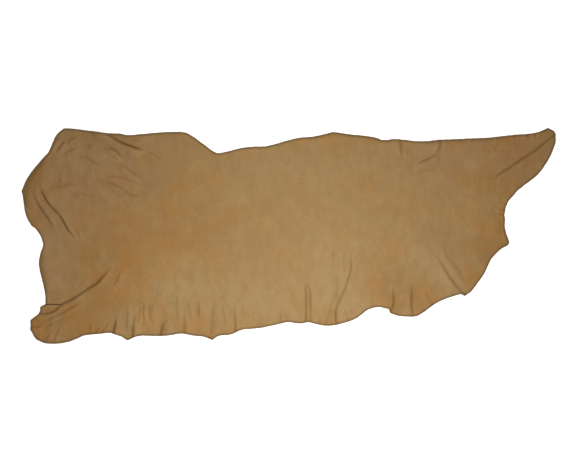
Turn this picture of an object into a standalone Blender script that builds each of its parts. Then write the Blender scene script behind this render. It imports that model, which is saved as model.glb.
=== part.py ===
"""One side of a cattle hide: half a skin, split along the backbone, trimmed with a knife and laid
flat with its grain side up.

It is a single sheet of even thickness. Its legs, belly and neck have dried out of flat, so the sheet
rises off the surface in folds there, and between the folds it lies flush.
Metres. x runs from the hip to the neck, y from the belly to the backbone, z up from the surface.
The origin is under the middle of the sheet.
"""

import math
from collections import namedtuple

import bmesh
import bpy
import numpy as np
from mathutils.geometry import delaunay_2d_cdt

# Driving dimensions
LENGTH = 2.500
THICKNESS = 0.0015

# Spacing of the mesh: along the cut edge, along a fold and in the flat middle
EDGE_STEP = 0.014
FOLD_STEP = 0.017
FLAT_STEP = 0.075
# How near a point of a fold's main rows, of its other rows or of the flat middle may come to the
# points already placed
MAIN_GAP = 0.006
OTHER_GAP = 0.009
FLAT_GAP = 0.025
# The height of a triangle whose sides are 1, for staggered rows
ROW_HEIGHT = 3**0.5 / 2
# A fold narrows to this share of its width where it fades out
END_WIDTH = 0.35
# How far apart the heights are read that give a fold's slope
SLOPE_REACH = 0.001
# Points nearer than this are one point
SAME_POINT = 1e-7
# Folds that meet blend by this power: 1 adds them up, and a high one keeps the higher
BLEND = 3

# The cut edge is shaded as a sharp corner, and the folds are shaded smooth
SHARP_ANGLE = math.radians(60)

COLOUR = (0.370, 0.224, 0.088, 1.0)
ROUGHNESS = 0.62

# The cut edge, clockwise seen from above. A row is one smooth stretch through its points, which
# starts at a corner and runs on to the first point of the next row.
Stretch = namedtuple("Stretch", "name points")
EDGE = (
    Stretch("rump", ((-1.051, 0.504), (-1.004, 0.502), (-0.892, 0.487), (-0.840, 0.481),
                     (-0.785, 0.479), (-0.766, 0.474), (-0.737, 0.473), (-0.611, 0.484),
                     (-0.499, 0.487))),
    Stretch("loin", ((-0.475, 0.481), (-0.452, 0.469), (-0.408, 0.438), (-0.335, 0.389),
                     (-0.310, 0.391), (-0.227, 0.411), (-0.180, 0.418), (-0.106, 0.421),
                     (0.035, 0.457), (0.124, 0.467))),
    Stretch("withers", ((0.208, 0.487), (0.297, 0.475), (0.400, 0.463))),
    Stretch("mane", ((0.433, 0.451), (0.462, 0.450), (0.484, 0.454), (0.606, 0.444),
                     (0.655, 0.445), (0.690, 0.449), (0.716, 0.451), (0.775, 0.453),
                     (0.849, 0.457), (0.915, 0.459), (1.046, 0.473), (1.158, 0.484))),
    Stretch("throat", ((1.214, 0.506), (1.242, 0.491), (1.250, 0.477), (1.247, 0.463),
                       (1.249, 0.446), (1.234, 0.393), (1.195, 0.322), (1.158, 0.279),
                       (1.075, 0.214), (1.046, 0.180), (1.027, 0.158), (1.011, 0.103),
                       (1.013, 0.078), (1.013, 0.037))),
    Stretch("foreleg", ((1.034, -0.030), (1.026, -0.044), (1.000, -0.058), (0.955, -0.101),
                        (0.936, -0.133), (0.918, -0.172), (0.903, -0.196), (0.881, -0.226),
                        (0.852, -0.263))),
    Stretch("brisket", ((0.823, -0.282), (0.803, -0.272), (0.785, -0.278), (0.751, -0.289),
                        (0.712, -0.304), (0.672, -0.328), (0.632, -0.358), (0.603, -0.374),
                        (0.587, -0.378), (0.512, -0.374))),
    Stretch("nick", ((0.475, -0.361),)),
    Stretch("front belly", ((0.467, -0.343), (0.419, -0.334), (0.367, -0.348), (0.348, -0.365),
                            (0.298, -0.395), (0.185, -0.421))),
    Stretch("tab", ((0.091, -0.404), (0.066, -0.409), (0.038, -0.410), (-0.003, -0.404),
                    (-0.044, -0.413), (-0.143, -0.433), (-0.218, -0.440), (-0.269, -0.462),
                    (-0.328, -0.469))),
    Stretch("rear belly", ((-0.356, -0.488), (-0.396, -0.473), (-0.440, -0.468), (-0.499, -0.458),
                           (-0.560, -0.466), (-0.611, -0.469), (-0.709, -0.470))),
    Stretch("hind leg", ((-0.752, -0.490), (-0.789, -0.469), (-0.831, -0.455), (-0.900, -0.461),
                         (-0.948, -0.465), (-1.037, -0.498), (-1.126, -0.504), (-1.182, -0.482),
                         (-1.206, -0.436))),
    Stretch("shank", ((-1.207, -0.393), (-1.172, -0.366), (-1.163, -0.348), (-1.163, -0.333))),
    Stretch("thigh", ((-1.138, -0.319), (-1.139, -0.272), (-1.169, -0.132), (-1.163, -0.086),
                      (-1.149, -0.038), (-1.177, 0.025), (-1.203, 0.049), (-1.228, 0.092),
                      (-1.243, 0.177))),
    Stretch("tail", ((-1.250, 0.210), (-1.228, 0.262))),
    Stretch("hip", ((-1.201, 0.304), (-1.146, 0.368), (-1.127, 0.389), (-1.114, 0.414),
                    (-1.084, 0.476))),
)

# The folds. Each is a crest with a steep flank on the left of its path and a gentle one on the right.
# The path runs along the middle of the steep flank. Widths are those of the two flanks seen from
# above, and the fades are how long the crest takes to rise from the sheet at the path's two ends:
# none where the fold runs off the edge at its full height.
Fold = namedtuple("Fold", "name height steep gentle fade_in fade_out path")
FOLDS = (
    Fold("rump", 0.020, 0.018, 0.055, 0, 0.070,
         ((-0.880, 0.490), (-0.825, 0.460), (-0.780, 0.435), (-0.730, 0.415), (-0.665, 0.395))),
    Fold("rump, inner", 0.011, 0.013, 0.035, 0.050, 0.040,
         ((-0.865, 0.430), (-0.825, 0.405), (-0.800, 0.390), (-0.770, 0.350))),
    Fold("hip, upper", 0.007, 0.015, 0.035, 0.100, 0.060,
         ((-1.015, 0.370), (-0.950, 0.370), (-0.910, 0.345), (-0.855, 0.310))),
    Fold("hip, middle", 0.006, 0.015, 0.035, 0.050, 0.060,
         ((-0.810, 0.345), (-0.760, 0.320), (-0.715, 0.285), (-0.665, 0.250))),
    Fold("hip, lower", 0.006, 0.016, 0.040, 0.080, 0.080,
         ((-0.910, 0.260), (-0.845, 0.250), (-0.790, 0.225), (-0.735, 0.190), (-0.665, 0.175))),
    Fold("hip, edge", 0.007, 0.013, 0.030, 0.040, 0.040,
         ((-1.095, 0.385), (-1.070, 0.415), (-1.040, 0.455))),
    Fold("hip, corner", 0.005, 0.015, 0.030, 0.040, 0.050,
         ((-1.065, 0.355), (-1.030, 0.395), (-0.975, 0.410))),
    Fold("tail", 0.010, 0.050, 0.070, 0.080, 0.080,
         ((-1.200, 0.100), (-1.222, 0.160), (-1.222, 0.215), (-1.195, 0.270), (-1.150, 0.335),
          (-1.115, 0.380))),
    Fold("thigh, long", 0.013, 0.012, 0.035, 0.090, 0.110,
         ((-0.985, -0.035), (-1.025, 0.025), (-1.070, 0.095), (-1.130, 0.165), (-1.160, 0.230),
          (-1.160, 0.290))),
    Fold("thigh, outer", 0.010, 0.012, 0.032, 0.080, 0.070,
         ((-1.085, 0.020), (-1.135, 0.100), (-1.180, 0.165), (-1.190, 0.200), (-1.175, 0.255))),
    Fold("shank, long", 0.012, 0.015, 0.045, 0, 0.110,
         ((-1.200, -0.365), (-1.110, -0.360), (-1.055, -0.320), (-0.975, -0.275), (-0.895, -0.220),
          (-0.855, -0.175), (-0.820, -0.130))),
    Fold("shank, ledge", 0.006, 0.007, 0.030, 0, 0.030,
         ((-1.160, -0.320), (-1.105, -0.320), (-1.050, -0.322))),
    Fold("shank, low", 0.009, 0.014, 0.030, 0.050, 0.090,
         ((-1.155, -0.410), (-1.095, -0.380), (-1.035, -0.350), (-0.940, -0.295))),
    Fold("hoof end", 0.008, 0.013, 0.030, 0, 0.040,
         ((-1.220, -0.425), (-1.165, -0.425), (-1.135, -0.420))),
    Fold("rear belly, 1", 0.013, 0.013, 0.045, 0, 0.070,
         ((-0.825, -0.480), (-0.810, -0.420), (-0.800, -0.360))),
    Fold("rear belly, 2", 0.009, 0.014, 0.040, 0, 0.080,
         ((-0.730, -0.500), (-0.725, -0.430), (-0.715, -0.360))),
    Fold("rear belly, 3", 0.012, 0.030, 0.045, 0, 0.070,
         ((-0.600, -0.485), (-0.585, -0.420), (-0.565, -0.375))),
    Fold("rear belly, 4", 0.005, 0.016, 0.040, 0, 0.090,
         ((-0.490, -0.480), (-0.485, -0.405), (-0.490, -0.335))),
    Fold("rear belly, 5", 0.005, 0.024, 0.050, 0, 0.150,
         ((-0.370, -0.505), (-0.355, -0.415), (-0.350, -0.255))),
    Fold("rear belly, 6", 0.007, 0.012, 0.035, 0, 0.110,
         ((-0.250, -0.475), (-0.250, -0.395), (-0.255, -0.305))),
    Fold("front belly, 1", 0.007, 0.013, 0.018, 0, 0.060,
         ((0.078, -0.430), (0.083, -0.335), (0.080, -0.200))),
    Fold("front belly, 2", 0.006, 0.015, 0.035, 0.120, 0,
         ((0.215, -0.245), (0.190, -0.360), (0.170, -0.440))),
    Fold("front belly, 3", 0.007, 0.014, 0.045, 0.160, 0,
         ((0.290, -0.030), (0.290, -0.160), (0.255, -0.265), (0.220, -0.350), (0.220, -0.440))),
    Fold("brisket, 1", 0.008, 0.014, 0.035, 0.100, 0,
         ((0.485, -0.205), (0.490, -0.310), (0.472, -0.375))),
    Fold("brisket, 2", 0.007, 0.014, 0.045, 0.080, 0,
         ((0.575, -0.210), (0.575, -0.315), (0.580, -0.395))),
    Fold("foreleg, long", 0.007, 0.014, 0.050, 0.100, 0,
         ((0.685, -0.085), (0.715, -0.130), (0.760, -0.205), (0.800, -0.250), (0.845, -0.295))),
    Fold("foreleg, short", 0.003, 0.016, 0.030, 0.070, 0.070,
         ((0.715, -0.045), (0.750, -0.110), (0.785, -0.155), (0.815, -0.215))),
    Fold("shoulder", 0.007, 0.012, 0.035, 0, 0.080,
         ((0.520, 0.470), (0.525, 0.400), (0.530, 0.340))),
    Fold("withers", 0.008, 0.013, 0.040, 0.080, 0.040,
         ((0.580, 0.315), (0.625, 0.345), (0.685, 0.380), (0.705, 0.400))),
    Fold("withers, upper", 0.008, 0.013, 0.040, 0, 0.040,
         ((0.715, 0.475), (0.710, 0.440), (0.700, 0.405), (0.675, 0.375))),
    Fold("neck", 0.011, 0.015, 0.045, 0.090, 0,
         ((0.935, 0.245), (1.005, 0.300), (1.095, 0.360), (1.175, 0.415), (1.265, 0.485))),
)
# Rows of mesh points across a fold, as shares of its steep flank (plus) or its gentle one (minus)
# counted from the crest. The main rows draw every crest and foot before the others fill in.
MAIN_ROWS = (0.0, 1.0)
OTHER_ROWS = (-0.33, -0.66, -1.0)


def smooth_curve(points, step):
    """Points about a step apart on a centripetal Catmull-Rom curve, without its last one."""
    knots = np.array(points, float)
    knots = np.vstack([2 * knots[0] - knots[1], knots, 2 * knots[-1] - knots[-2]])
    curve = []
    for a, b, c, d in zip(knots, knots[1:], knots[2:], knots[3:]):
        gaps = np.sqrt([np.hypot(*(b - a)), np.hypot(*(c - b)), np.hypot(*(d - c))])
        t0, t1, t2, t3 = 0.0, gaps[0], gaps[0] + gaps[1], gaps.sum()
        count = max(1, round(np.hypot(*(c - b)) / step))
        for t in np.linspace(t1, t2, count, endpoint=False):
            ab = a + (b - a) * (t - t0) / (t1 - t0)
            bc = b + (c - b) * (t - t1) / (t2 - t1)
            cd = c + (d - c) * (t - t2) / (t3 - t2)
            abc = ab + (bc - ab) * (t - t0) / (t2 - t0)
            bcd = bc + (cd - bc) * (t - t1) / (t3 - t1)
            curve.append(abc + (bcd - abc) * (t - t1) / (t2 - t1))
    return curve


def edge_curve(step):
    """The whole cut edge as a closed polygon."""
    polygon = []
    for stretch, following in zip(EDGE, EDGE[1:] + EDGE[:1]):
        polygon += smooth_curve(stretch.points + following.points[:1], step)
    return np.array(polygon)


def placing():
    """The scale and the shift that give the tables' places their real length, about the origin."""
    polygon = edge_curve(EDGE_STEP)
    low, high = polygon.min(0), polygon.max(0)
    return LENGTH / (high[0] - low[0]), (low + high) / 2


def nearest_on(path, places):
    """Where on a path each place is nearest to it: how far along, and how far off, left being plus."""
    runs = path[1:] - path[:-1]
    lengths = np.hypot(runs[:, 0], runs[:, 1])
    begins = np.cumsum(lengths) - lengths
    offsets = places[:, None] - path[None, :-1]
    share = np.clip((offsets * runs).sum(2) / lengths**2, 0, 1)
    gaps = offsets - share[..., None] * runs
    distance = np.hypot(gaps[..., 0], gaps[..., 1])
    best = distance.argmin(1)
    row = np.arange(len(places))
    run, offset = runs[best], offsets[row, best]
    side = np.where(run[:, 0] * offset[:, 1] - run[:, 1] * offset[:, 0] >= 0, 1, -1)
    return begins[best] + share[row, best] * lengths[best], side * distance[row, best]


def rise(share):
    """Half a wave, from 0 at a share of 0 to 1 at a share of 1."""
    return (1 - np.cos(np.pi * np.clip(share, 0, 1))) / 2


def fade_and_width(fold, along, length):
    """The shares of its height and of its width that a fold has at each distance along its path."""
    fade = np.ones(len(along))
    if fold.fade_in:
        fade *= rise(along / fold.fade_in)
    if fold.fade_out:
        fade *= rise((length - along) / fold.fade_out)
    return fade, END_WIDTH + (1 - END_WIDTH) * fade


def fold_height(fold, path, places):
    """How high one fold lifts the sheet at each place."""
    along, off = nearest_on(path, places)
    length = np.hypot(*(path[1:] - path[:-1]).T).sum()
    fade, width = fade_and_width(fold, along, length)
    from_crest = off / width + fold.steep / 2
    across = rise(1 - np.maximum(from_crest / fold.steep, -from_crest / fold.gentle))
    return fold.height * across * fade


def sheet_height(folds, places):
    """How high all the folds together lift the sheet's underside at each place."""
    total = sum(fold_height(fold, path, places) ** BLEND for fold, path in folds)
    return total ** (1 / BLEND)


def thickness_upward(folds, places):
    """The sheet's thickness measured straight up, which is more where it slopes."""
    here = sheet_height(folds, places)
    slope_x = (sheet_height(folds, places + (SLOPE_REACH, 0)) - here) / SLOPE_REACH
    slope_y = (sheet_height(folds, places + (0, SLOPE_REACH)) - here) / SLOPE_REACH
    return THICKNESS * np.sqrt(1 + slope_x**2 + slope_y**2)


def rows_along(folds, shares):
    """Mesh points in rows along the folds, so that their flanks and crests are drawn true."""
    rows = []
    for fold, path in folds:
        runs = path[1:] - path[:-1]
        headings = np.vstack([runs[:1], runs[1:] + runs[:-1], runs[-1:]])
        headings /= np.hypot(headings[:, 0], headings[:, 1])[:, None]
        left = np.column_stack([-headings[:, 1], headings[:, 0]])
        along = np.concatenate([[0], np.cumsum(np.hypot(*runs.T))])
        width = fade_and_width(fold, along, along[-1])[1]
        for share in shares:
            flank = fold.steep if share > 0 else fold.gentle
            shift = width * (flank * share - fold.steep / 2)
            rows.append(path + left * shift[:, None])
    return np.vstack(rows)


def flat_grid(polygon):
    """Evenly spread places over the whole sheet, in staggered rows."""
    low, high = polygon.min(0), polygon.max(0)
    places = []
    for row, y in enumerate(np.arange(low[1], high[1], FLAT_STEP * ROW_HEIGHT)):
        start = low[0] + FLAT_STEP / 2 * (row % 2)
        places += [(x, y) for x in np.arange(start, high[0], FLAT_STEP)]
    return np.array(places)


def inside(polygon, places):
    """Which places lie inside a closed polygon."""
    x, y = places[:, :1], places[:, 1:]
    (x0, y0), (x1, y1) = polygon.T, np.roll(polygon, -1, axis=0).T
    crosses = (y0 > y) != (y1 > y)
    height = np.where(y1 == y0, 1, y1 - y0)
    return (crosses & (x < x0 + (y - y0) * (x1 - x0) / height)).sum(1) % 2 == 1


def thinned(kept, candidates, gap):
    """The candidates that keep a gap to the kept points and to each other."""
    points = list(kept)
    for place in candidates:
        if np.min(np.hypot(*(np.array(points) - place).T)) >= gap:
            points.append(place)
    return np.array(points[len(kept):])


def sheet_mesh(polygon, folds):
    """The flat pattern of the sheet: its points, the edge's first, and triangles between them."""
    points = polygon
    layers = (
        (rows_along(folds, MAIN_ROWS), MAIN_GAP),
        (rows_along(folds, OTHER_ROWS), OTHER_GAP),
        (flat_grid(polygon), FLAT_GAP),
    )
    for places, gap in layers:
        added = thinned(points, places[inside(polygon, places)], gap)
        points = np.vstack([points, added])
    loop = [(i, (i + 1) % len(polygon)) for i in range(len(polygon))]
    keep_inside = 1
    made = delaunay_2d_cdt([tuple(p) for p in points], loop, [], keep_inside, SAME_POINT)
    return np.array([tuple(v) for v in made[0]]), [tuple(face) for face in made[2]]


def solid_sheet(name, places, triangles, low, high):
    """One closed solid between the heights of the underside and those of the grain side."""
    bm = bmesh.new()
    under = [bm.verts.new((x, y, z)) for (x, y), z in zip(places, low)]
    over = [bm.verts.new((x, y, z)) for (x, y), z in zip(places, high)]
    for a, b, c in triangles:
        bm.faces.new((over[a], over[b], over[c]))
        bm.faces.new((under[c], under[b], under[a]))
    directed = {(a, b) for t in triangles for a, b in zip(t, t[1:] + t[:1])}
    for a, b in sorted(directed):
        if (b, a) not in directed:
            bm.faces.new((under[a], under[b], over[b]))
            bm.faces.new((under[a], over[b], over[a]))
    mesh = bpy.data.meshes.new(name)
    bm.to_mesh(mesh)
    bm.free()
    return mesh


def leather():
    """Vegetable-tanned leather in a natural tan."""
    material = bpy.data.materials.new("leather")
    material.use_nodes = True
    shader = material.node_tree.nodes["Principled BSDF"]
    shader.inputs["Base Color"].default_value = COLOUR
    shader.inputs["Roughness"].default_value = ROUGHNESS
    shader.inputs["Metallic"].default_value = 0.0
    return material


def make_hide():
    """The hide as one object."""
    scale, middle = placing()
    polygon = (edge_curve(EDGE_STEP) - middle) * scale
    folds = []
    for fold in FOLDS:
        path = np.array(smooth_curve(fold.path, FOLD_STEP) + [np.array(fold.path[-1])])
        folds.append((fold, (path - middle) * scale))
    places, triangles = sheet_mesh(polygon, folds)
    low = sheet_height(folds, places)
    high = low + thickness_upward(folds, places)
    mesh = solid_sheet("hide", places, triangles, low, high)
    mesh.materials.append(leather())
    mesh.shade_smooth()
    mesh.set_sharp_from_angle(angle=SHARP_ANGLE)
    hide = bpy.data.objects.new("hide", mesh)
    bpy.context.collection.objects.link(hide)


for existing in list(bpy.data.objects):
    bpy.data.objects.remove(existing, do_unlink=True)
make_hide()
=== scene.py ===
"""One side of a cattle hide in natural tan leather, laid out flat with its grain side up, seen from
straight above in soft light that hangs over its middle.

The frame gives the cut edge. The sheet is drawn anew on it as one fine mesh: the folds stand where
the frame has them, with the finer creases between them, a knife-cut rim and a rough flesh side.
Metres, in the frame's own axes: x from the hip to the neck, y from the belly to the backbone.
"""

import math
from collections import namedtuple

import bmesh
import bpy
import numpy as np
from mathutils.geometry import delaunay_2d_cdt
from mathutils.kdtree import KDTree
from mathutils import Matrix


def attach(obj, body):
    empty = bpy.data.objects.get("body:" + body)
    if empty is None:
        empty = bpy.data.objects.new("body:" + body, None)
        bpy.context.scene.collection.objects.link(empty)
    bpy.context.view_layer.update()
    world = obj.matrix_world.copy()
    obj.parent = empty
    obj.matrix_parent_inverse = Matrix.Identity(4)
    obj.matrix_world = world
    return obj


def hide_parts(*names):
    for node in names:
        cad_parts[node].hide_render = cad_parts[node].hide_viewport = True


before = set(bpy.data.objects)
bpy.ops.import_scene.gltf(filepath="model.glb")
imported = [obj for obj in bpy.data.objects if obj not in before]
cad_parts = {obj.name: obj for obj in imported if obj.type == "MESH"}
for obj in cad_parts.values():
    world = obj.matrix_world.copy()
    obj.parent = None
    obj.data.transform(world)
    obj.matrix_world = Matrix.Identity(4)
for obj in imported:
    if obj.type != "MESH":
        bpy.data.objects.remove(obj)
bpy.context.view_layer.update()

# The sheet, and the piece that it was cut to before it was laid down
THICKNESS = 0.0015

# The frame's cut edge: its points are joined within this distance, and the faces whose normals
# point up by at least this share are its grain side
WELD = 1e-6
GRAIN_NORMAL = 0.1
# A turn of the edge sharper than this is a corner, and stays sharp
CORNER_TURN = math.radians(34)
# The knife's small swings, and how long they are
KNIFE_SWING = 0.0005
KNIFE_LENGTH = 0.035

# The rim's own step, and the finest lattice of points inside it. Each coarser lattice takes every
# second point of the one before. Places further from a steep flank or the rim than a reach get
# only the next lattice.
RIM_STEP = 0.0042
FINE_STEP = 0.0042
REACHES = (0.006, 0.034)
# The lattice keeps this far from the rim and is shaken by this share of its step
RIM_CLEAR = 0.0027
SHAKE = 0.18
# The points of the rim that distances are measured from, as shares of each of its steps
RIM_PARTS = (0, 1 / 3, 2 / 3)
# The triangulation's own number for keeping what lies inside the rim, and the distance within
# which it joins points
KEEP_INSIDE = 1
JOIN = 1e-8

# The soft swell between the folds: its height and length, what is added to its waves before those
# below 0 are cut off, its share in the middle, and where along the hide it starts to grow and how
# much further on it is full
SWELL = 0.0009
SWELL_LENGTH = 0.20
SWELL_LIFT = 0.4
SWELL_MIDDLE = 0.25
SWELL_FROM = 0.25
SWELL_REACH = 0.55
# The flutes at the rim: the same, and how far inwards they die out
FLUTE = 0.0016
FLUTE_LENGTH = 0.075
FLUTE_LIFT = 0.2
FLUTE_REACH = 0.045
# The rim's own rounding: its height, the width over which it rises and the one over which it falls
# again further in, and how far the cut stands out at half the thickness
ROLL = 0.0010
ROLL_OUTER = 0.008
ROLL_INNER = 0.030
RIM_BULGE = 0.0002

# The painted shadow along the knife's slit that runs in from the rim where the shank leaves the
# thigh, a nearly black line that stands in for the shade under the overlapping edge there: its
# line, its end and the length over which it fades there, its width, how many widths it blurs over,
# and its strength
SLIT_Y = -0.3205
SLIT_END = -1.050
SLIT_FADE = 0.03
SLIT_WIDTH = 0.0018
SLIT_BLUR = 1.6
SLIT_SHADOW_SHARE = 0.94

# Lights, floor and camera
WHITE = (1, 1, 1, 1)
LAMP_PLACE = (0.075, -0.30, 1.60)
LAMP_SIZE = 0.45
LAMP_POWER = 17.8
SKY = 0.37
FLOOR_REACH = 40.0
FLOOR_LEVEL = -0.0003
FLOOR_SURFACE = {"Base Color": (0.93, 0.93, 0.93, 1), "Roughness": 0.9,
                 "Specular IOR Level": 0.1, "Emission Color": WHITE, "Emission Strength": 0.62}
VIEW_WIDTH = 2.668
VIEW_CENTRE = (-0.0167, 0.0370)
LENS = 85
SENSOR = 36
CLIP_END = 200

# Folds: a steep flank on the left of the path and a gentle one on the right, as the frame's. The
# path runs along the middle of the steep flank. A fade of 0 means that it runs off the edge.
Fold = namedtuple("Fold", "height steep gentle fade_in fade_out path")

# Those that the frame has too
MAIN_FOLDS = {
    "rump": Fold(0.020, 0.018, 0.055, 0, 0.070,
                 ((-0.880, 0.490), (-0.825, 0.460), (-0.780, 0.435), (-0.730, 0.415),
                  (-0.665, 0.395))),
    "rump, inner": Fold(0.011, 0.013, 0.035, 0.050, 0.040,
                        ((-0.865, 0.430), (-0.825, 0.405), (-0.800, 0.390), (-0.770, 0.350))),
    "hip, upper": Fold(0.007, 0.015, 0.035, 0.100, 0.060,
                       ((-1.015, 0.370), (-0.950, 0.370), (-0.910, 0.345), (-0.855, 0.310))),
    "hip, middle": Fold(0.006, 0.015, 0.035, 0.050, 0.060,
                        ((-0.810, 0.345), (-0.760, 0.320), (-0.715, 0.285), (-0.665, 0.250))),
    "hip, lower": Fold(0.006, 0.016, 0.040, 0.080, 0.080,
                       ((-0.910, 0.260), (-0.845, 0.250), (-0.790, 0.225), (-0.735, 0.190),
                        (-0.665, 0.175))),
    "hip, edge": Fold(0.007, 0.013, 0.030, 0.040, 0.040,
                      ((-1.095, 0.385), (-1.070, 0.415), (-1.040, 0.455))),
    "hip, corner": Fold(0.005, 0.015, 0.030, 0.040, 0.050,
                        ((-1.065, 0.355), (-1.030, 0.395), (-0.975, 0.410))),
    "tail": Fold(0.010, 0.050, 0.070, 0.080, 0.080,
                 ((-1.200, 0.100), (-1.222, 0.160), (-1.222, 0.215), (-1.195, 0.270),
                  (-1.150, 0.335), (-1.115, 0.380))),
    "thigh, long": Fold(0.013, 0.012, 0.035, 0.090, 0.110,
                        ((-0.985, -0.035), (-1.025, 0.025), (-1.070, 0.095), (-1.130, 0.165),
                         (-1.160, 0.230), (-1.160, 0.290))),
    "thigh, outer": Fold(0.010, 0.012, 0.032, 0.080, 0.070,
                         ((-1.085, 0.020), (-1.135, 0.100), (-1.180, 0.165), (-1.190, 0.200),
                          (-1.175, 0.255))),
    "shank, long": Fold(0.012, 0.015, 0.045, 0, 0.110,
                        ((-1.200, -0.365), (-1.110, -0.360), (-1.055, -0.320),
                         (-0.975, -0.275), (-0.895, -0.220), (-0.855, -0.175),
                         (-0.820, -0.130))),
    "shank, ledge": Fold(0.006, 0.007, 0.030, 0, 0.030,
                         ((-1.160, -0.320), (-1.105, -0.320), (-1.050, -0.322))),
    "shank, low": Fold(0.009, 0.014, 0.030, 0.050, 0.090,
                       ((-1.155, -0.410), (-1.095, -0.380), (-1.035, -0.350),
                        (-0.940, -0.295))),
    "hoof end": Fold(0.008, 0.013, 0.030, 0, 0.040,
                     ((-1.220, -0.425), (-1.165, -0.425), (-1.135, -0.420))),
    "rear belly, 1": Fold(0.013, 0.013, 0.045, 0, 0.070,
                          ((-0.825, -0.480), (-0.810, -0.420), (-0.800, -0.360))),
    "rear belly, 2": Fold(0.009, 0.014, 0.040, 0, 0.080,
                          ((-0.730, -0.500), (-0.725, -0.430), (-0.715, -0.360))),
    "rear belly, 3": Fold(0.012, 0.030, 0.045, 0, 0.070,
                          ((-0.600, -0.485), (-0.585, -0.420), (-0.565, -0.375))),
    "rear belly, 4": Fold(0.005, 0.016, 0.040, 0, 0.090,
                          ((-0.490, -0.480), (-0.485, -0.405), (-0.490, -0.335))),
    "rear belly, 5": Fold(0.005, 0.024, 0.050, 0, 0.150,
                          ((-0.370, -0.505), (-0.355, -0.415), (-0.350, -0.255))),
    "rear belly, 6": Fold(0.007, 0.012, 0.035, 0, 0.110,
                          ((-0.250, -0.475), (-0.250, -0.395), (-0.255, -0.305))),
    "front belly, 1": Fold(0.007, 0.013, 0.018, 0, 0.060,
                           ((0.078, -0.430), (0.083, -0.335), (0.080, -0.200))),
    "front belly, 2": Fold(0.006, 0.015, 0.035, 0.120, 0,
                           ((0.215, -0.245), (0.190, -0.360), (0.170, -0.440))),
    "front belly, 3": Fold(0.007, 0.014, 0.045, 0.160, 0,
                           ((0.290, -0.030), (0.290, -0.160), (0.255, -0.265),
                            (0.220, -0.350), (0.220, -0.440))),
    "brisket, 1": Fold(0.008, 0.014, 0.035, 0.100, 0,
                       ((0.485, -0.205), (0.490, -0.310), (0.472, -0.375))),
    "brisket, 2": Fold(0.007, 0.014, 0.045, 0.080, 0,
                       ((0.575, -0.210), (0.575, -0.315), (0.580, -0.395))),
    "foreleg, long": Fold(0.007, 0.014, 0.050, 0.100, 0,
                          ((0.685, -0.085), (0.715, -0.130), (0.760, -0.205),
                           (0.800, -0.250), (0.845, -0.295))),
    "foreleg, short": Fold(0.003, 0.016, 0.030, 0.070, 0.070,
                           ((0.715, -0.045), (0.750, -0.110), (0.785, -0.155),
                            (0.815, -0.215))),
    "shoulder": Fold(0.007, 0.012, 0.035, 0, 0.080,
                     ((0.520, 0.470), (0.525, 0.400), (0.530, 0.340))),
    "withers": Fold(0.008, 0.013, 0.040, 0.080, 0.040,
                    ((0.580, 0.315), (0.625, 0.345), (0.685, 0.380), (0.705, 0.400))),
    "withers, upper": Fold(0.008, 0.013, 0.040, 0, 0.040,
                           ((0.715, 0.475), (0.710, 0.440), (0.700, 0.405), (0.675, 0.375))),
    "neck": Fold(0.011, 0.015, 0.045, 0.090, 0,
                 ((0.935, 0.245), (1.005, 0.300), (1.095, 0.360), (1.175, 0.415),
                  (1.265, 0.485))),
}

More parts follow.
